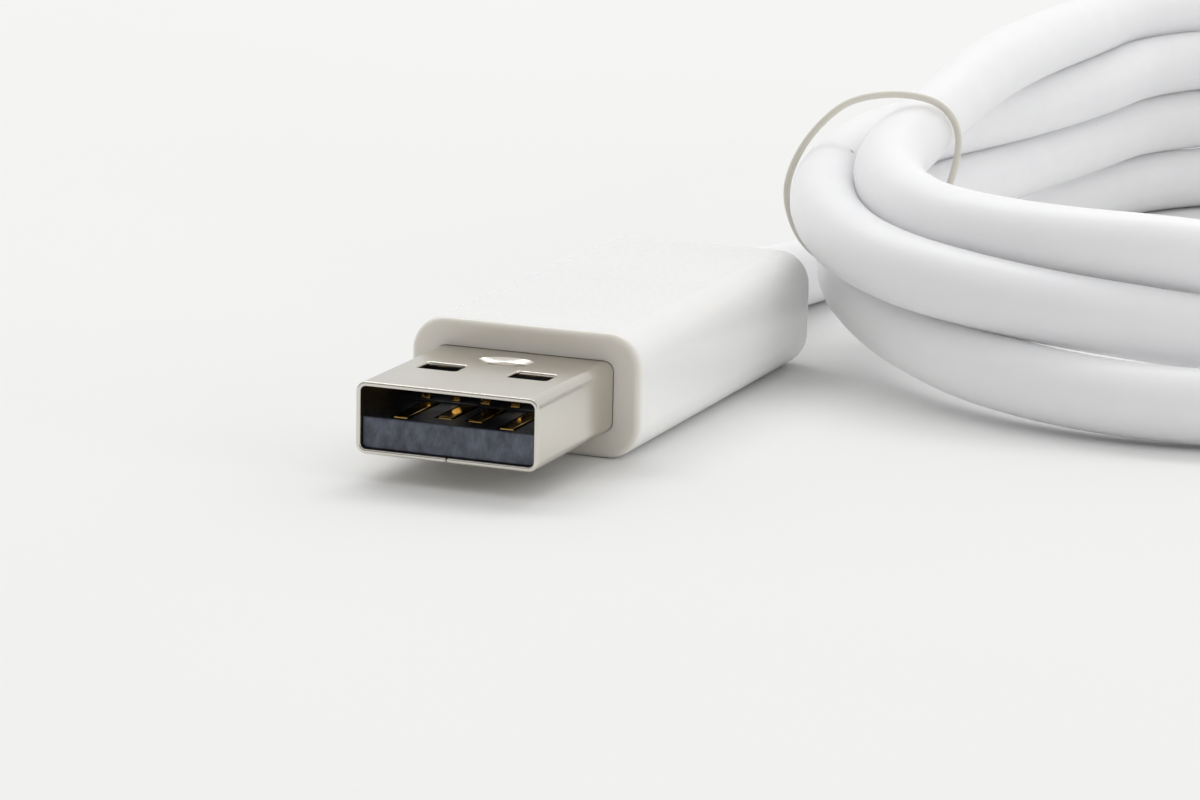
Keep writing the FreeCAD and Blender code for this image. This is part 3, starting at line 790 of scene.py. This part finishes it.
def cutSpringSeats(tongue):
    # behind the cavity each spring lies in a channel of its own section
    t, r = tongueA, rearContactsA
    x, y, z = plugA["place"]
    level = z + r["path"][-1][1]
    halfWidth = r["width"] / 2
    halfThickness = r["thickness"] / 2
    for place in range(r["count"]):
        middle = x + (place - (r["count"] - 1) / 2) * r["pitch"]
        channel = addBlock(
            "channel", (middle - halfWidth, y + t["cavity"] - t["rearChannelLap"], level - halfThickness),
            (middle + halfWidth, y + t["end"] + overrun, level + halfThickness))
        carve(tongue, channel)


def makeTongueA():
    # the block is stepped down to the ledge and the tongue, then cut for what seats in it
    t = tongueA
    x, y, z = plugA["place"]
    tongue = addRoundedBar("tongueA", plugA["place"], t["width"], t["height"], t["corner"],
                           t["tip"], t["end"])
    ledgeTop = z + t["top"] + t["ledgeRise"]
    for depth, low in ((t["ledge"], z + t["top"]), (t["cavity"], ledgeTop)):
        above = addBlock("above", (x - t["width"], y - overrun, low),
                         (x + t["width"], y + depth, z + t["height"]))
        carve(tongue, above)
    tip = y + t["tip"]
    bevelEdges(tongue, lambda a, b: abs(a.y - b.y) < touching and abs(a.y - tip) < touching,
               t["edge"], segments=3)
    ledge = y + t["ledge"]
    bevelEdges(tongue, lambda a, b: abs(a.y - ledge) + abs(b.y - ledge) < touching
               and min(a.z, b.z) > ledgeTop - touching, t["ledgeEdge"], segments=2)
    cutContactSeats(tongue)
    cutSpringSeats(tongue)
    carve(tongue, addDimpleBall("press", shellA["wall"]))
    smoothen(tongue, angle=32)
    return tongue


def makeRearContacts():
    # one bent spring, then its four copies beside it
    r = rearContactsA
    x, y, z = plugA["place"]
    left = x - (r["count"] - 1) / 2 * r["pitch"] - r["width"] / 2
    spring = drawRibbon("rearContacts", [(left, y + a, z + b) for a, b in r["path"]], (r["width"], 0, 0))
    first, last = (y + r["path"][end][0] for end in (0, -1))
    bevelEdges(spring, lambda a, b: abs(a.y - b.y) < touching and first + touching < a.y < last - touching,
               r["bend"], segments=4)
    applyModifier(spring, "SOLIDIFY", thickness=r["thickness"] * mm, offset=0, use_even_offset=True)
    applyModifier(spring, "BEVEL", width=r["edge"] * mm, segments=2, limit_method="ANGLE",
                  angle_limit=math.radians(r["edgeAngle"]))
    row = [copyPiece(spring, "spring", (place * r["pitch"], 0, 0)) for place in range(1, r["count"])]
    clearSelection()
    for other in row + [spring]:
        other.select_set(True)
    bpy.context.view_layer.objects.active = spring
    bpy.ops.object.join()
    smoothen(spring, angle=40)
    return spring


def makeContacts():
    # one flat strip with a rounded nose, copied to each place; the noses of the data pair are drawn back
    c = contactsA
    x, y, z = plugA["place"]
    roles = list(c["offsets"])
    half = c["width"] / 2
    middle = x + c["offsets"][roles[0]]
    high = z + tongueA["top"] + c["proud"]
    start = y + c["setbacks"][roles[0]]
    strip = addBlock("contact." + roles[0], (middle - half, start, high - c["thickness"]),
                     (middle + half, y + c["end"], high))
    bevelEdges(strip, lambda a, b: min(a.z, b.z) > high - touching and max(a.y, b.y) < start + touching,
               c["nose"], segments=5)
    bevelEdges(strip, lambda a, b: abs(a.y - b.y) > c["end"] / 2 and min(a.z, b.z) > high - touching,
               c["edge"], segments=3)
    smoothen(strip, angle=40)
    strips = {roles[0]: strip}
    for role in roles[1:]:
        other = copyPiece(strip, "contact." + role, (x + c["offsets"][role] - middle, 0, 0))
        drawBack = y + c["setbacks"][role] - start
        pickEdges(other, lambda a, b: max(a.y, b.y) < start + 2 * c["nose"])
        bpy.ops.transform.translate(value=(0, drawBack * mm, 0))
        leaveEdit()
        strips[role] = other
    return strips


tonguePiece = makeTongueA()
finishPiece(tonguePiece, blackInsulator, "black_insulator", "plug_a_insulator")
for contactRole, contactPiece in makeContacts().items():
    finishPiece(contactPiece, goldFlash, "gold_contact", "plug_a_contact_" + contactRole)
finishPiece(makeRearContacts(), goldFlash, "gold_contact", "plug_a_rear_contacts")
print("type A tongue and contacts made")


bodyA = {
    "width": 15.6, "height": 8.0, "corner": 2.3, "start": 12.2, "end": 45.7,
    "frontEdge": 0.45, "rearEdge": 1.8, "reliefLength": 2.5, "reliefFront": 3.75, "reliefRear": 3.15,
    "seatGap": 0.03, "seatDepth": 0.15,
    "coreWidth": 13.2, "coreHeight": 5.7, "coreCorner": 1.2, "coreStart": 16.5, "coreEnd": 31.2,
}
bodyC = {
    "width": 11.4, "height": 6.4, "corner": 2.9, "start": 6.65, "end": 27.65,
    "frontEdge": 0.6, "rearEdge": 1.4, "reliefLength": 6.0, "reliefFront": 3.2, "reliefRear": 2.95,
    "coreWidth": 9.85, "coreHeight": 5.4, "coreCorner": 1.2, "coreStart": 7.85, "coreEnd": 23.8,
}
boreGap = 0.05


def makeBody(name, size, place):
    # a rounded bar, softened at both ends, with its tapered relief grown out of the rear;
    # a core is cut for the inner mould, and a bore for the cable
    y = place[1]
    start, end = size["start"], size["end"]
    body = addRoundedBar(name, place, size["width"], size["height"], size["corner"], start, end, steps=12)
    for edgeY, offset, segments in ((y + start, size["frontEdge"], 5), (y + end, size["rearEdge"], 8)):
        bevelEdges(body, lambda a, b: abs(a.y - edgeY) < touching and abs(b.y - edgeY) < touching,
                   offset, segments)
    reliefEnd = end + size["reliefLength"]
    relief = addTube(name + "Relief", place, end - size["rearEdge"], reliefEnd,
                     size["reliefRear"], size["reliefFront"], sides=64)
    carve(body, relief, "UNION")
    core = addRoundedBar("core", place, size["coreWidth"], size["coreHeight"], size["coreCorner"],
                         size["coreStart"], size["coreEnd"])
    carve(body, core)
    radius = cable["diameter"] / 2 + boreGap
    bore = addTube("bore", place, size["coreEnd"] - overrun, reliefEnd + overrun, radius, radius, sides=64)
    carve(body, bore)
    return body


def makeBodyA():
    b, s = bodyA, shellA
    place = plugA["place"]
    body = makeBody("bodyA", b, place)
    gap = 2 * b["seatGap"]
    seat = addRoundedBar("seat", place, s["width"] + gap, s["height"] + gap, s["corner"] + b["seatGap"],
                         b["start"] - overrun, b["start"] + b["seatDepth"])
    carve(body, seat)
    sleeve = addRoundedBar("sleeve", place, s["width"], s["height"], s["corner"], b["start"], s["end"])
    carve(body, sleeve)
    smoothen(body, angle=30)
    return body


bodyPiece = makeBodyA()
finishPiece(bodyPiece, whiteOvermould, "white_overmould", "plug_a_overmould")
print("type A body made")


# type C plug, out of the photograph, at the end of the cable
plugC = {"place": (78.35, 26.25, 3.2)}
shellC = {"width": 8.25, "height": 2.4, "wall": 0.2, "corner": 1.15, "end": 10.05, "rimRound": 0.07}


def makeShellC():
    shell = foldShell("shellC", shellC, plugC["place"], steps=12)
    roundRims(shell, shellC, segments=3)
    smoothen(shell, angle=30)
    return shell


def makeBodyC():
    s = shellC
    body = makeBody("bodyC", bodyC, plugC["place"])
    sleeve = addRoundedBar("sleeve", plugC["place"], s["width"], s["height"], s["corner"],
                           bodyC["start"] - overrun, s["end"], steps=12)
    carve(body, sleeve)
    smoothen(body, angle=30)
    return body


shellPieceC = makeShellC()
finishPiece(shellPieceC, nickelPlate, "plated_steel", "plug_c_shell")
bodyPieceC = makeBodyC()
finishPiece(bodyPieceC, whiteOvermould, "white_overmould", "plug_c_overmould")
print("type C shell and body made")


# CAD nodes that stay, each in its own finish
keptFinishes = {
    "plug_a_braid": tinnedBraid, "plug_a_inner_mould": innerMould,
    "plug_c_braid": tinnedBraid, "plug_c_inner_mould": innerMould,
    "plug_c_insulator": blackInsulator,
    "plug_c_contacts_upper": goldFlash, "plug_c_contacts_lower": goldFlash,
    "plug_c_latch": nickelPlate, "plug_c_ground_springs": nickelPlate, "plug_c_shield_can": nickelPlate,
    "plug_c_board": circuitBoard, "plug_c_resistor": chipResistor,
}
for wireRole, wireSleeve in wireSleeves.items():
    keptFinishes["plug_a_wire_" + wireRole] = wireSleeve
    keptFinishes["plug_c_wire_" + wireRole] = wireSleeve
for nodeName, finish in keptFinishes.items():
    nodes[nodeName].data.materials.clear()
    nodes[nodeName].data.materials.append(finish)
print("kept nodes finished")
# floor, light and backdrop, in metres
studio = {
    "floorReach": 3.0,
    "keyPlace": (-0.5, 1.0, 1.6), "keyWidth": 2.0, "keyDepth": 0.45, "keyPower": 12.1,
    "sidePlace": (0.8, -0.12, 0.2), "sideSize": 0.4, "sidePower": 0.6,
    "aim": (0.015, 0.03, 0.0),
    "room": 0.885, "sheen": 0.78, "backdrop": 0.93,
    "roomFront": 0.3, "frontEdge": -0.8, "backEdge": 0.15, "ceilingLift": 0.35,
}


def makeFloor():
    # matt paper sweep: a plain pale sheet with barely uneven tone
    clearSelection()
    bpy.ops.mesh.primitive_plane_add(size=studio["floorReach"])
    floor = bpy.context.object
    floor.name = "floor"
    finish, tree, shader, place = startFinish("mattPaperSweep")
    tone = addNode(tree, "ShaderNodeTexNoise", links={"Vector": place},
                   values={"Scale": perMm(60.0), "Detail": 2.0})
    colour = addNode(tree, "ShaderNodeValToRGB", links={"Fac": tone.outputs["Fac"]},
                     colours=("#efefee", "#f2f2f1"))
    setNode(tree, shader, values={"Roughness": 0.9, "Specular IOR Level": 0.1},
            links={"Base Color": colour.outputs["Color"]})
    floor.data.materials.append(finish)


def addSoftbox(name, place, width, depth, power):
    light = bpy.data.lights.new(name, "AREA")
    light.shape = "RECTANGLE"
    light.size = width
    light.size_y = depth
    light.energy = power
    lamp = bpy.data.objects.new(name, light)
    bpy.context.scene.collection.objects.link(lamp)
    lamp.location = place
    lamp.rotation_euler = (Vector(studio["aim"]) - Vector(place)).to_track_quat("-Z", "Y").to_euler()


def makeWorld():
    # pale walls and ceiling light the object from behind, above and both sides; the front stays dim
    world = bpy.data.worlds.new("studio")
    bpy.context.scene.world = world
    world.use_nodes = True
    tree = world.node_tree
    rays = addNode(tree, "ShaderNodeLightPath")
    away = addNode(tree, "ShaderNodeSeparateXYZ",
                   links={"Vector": addNode(tree, "ShaderNodeTexCoord").outputs["Generated"]})
    lifted = addNode(tree, "ShaderNodeMath", operation="MULTIPLY_ADD", values={1: studio["ceilingLift"]},
                     links={0: away.outputs["Z"], 2: away.outputs["Y"]})
    walls = addNode(tree, "ShaderNodeMapRange", interpolation_type="SMOOTHSTEP",
                    links={"Value": lifted.outputs["Value"]},
                    values={"From Min": studio["frontEdge"], "From Max": studio["backEdge"],
                            "To Min": studio["roomFront"], "To Max": 1.0})
    mirrored = addNode(tree, "ShaderNodeMath", operation="MAXIMUM",
                       links={0: rays.outputs["Is Glossy Ray"], 1: rays.outputs["Is Transmission Ray"]})
    level = addNode(tree, "ShaderNodeMapRange", links={"Value": mirrored.outputs["Value"]},
                    values={"To Min": studio["room"], "To Max": studio["sheen"]})
    strength = addNode(tree, "ShaderNodeMath", operation="MULTIPLY",
                       links={0: walls.outputs["Result"], 1: level.outputs["Result"]})
    room = tree.nodes["Background"]
    setNode(tree, room, values={"Color": linear("#ffffff")}, links={"Strength": strength.outputs["Value"]})
    backdrop = addNode(tree, "ShaderNodeBackground",
                       values={"Color": linear("#ffffff"), "Strength": studio["backdrop"]})
    both = addNode(tree, "ShaderNodeMixShader",
                   links={0: rays.outputs["Is Camera Ray"], 1: room.outputs["Background"],
                          2: backdrop.outputs["Background"]})
    setNode(tree, tree.nodes["World Output"], links={"Surface": both.outputs["Shader"]})


makeFloor()
addSoftbox("stripSoftbox", studio["keyPlace"], studio["keyWidth"], studio["keyDepth"], studio["keyPower"])
addSoftbox("sideSoftbox", studio["sidePlace"], studio["sideSize"], studio["sideSize"], studio["sidePower"])
makeWorld()
bpy.context.scene.view_settings.view_transform = "Standard"
print("studio set")
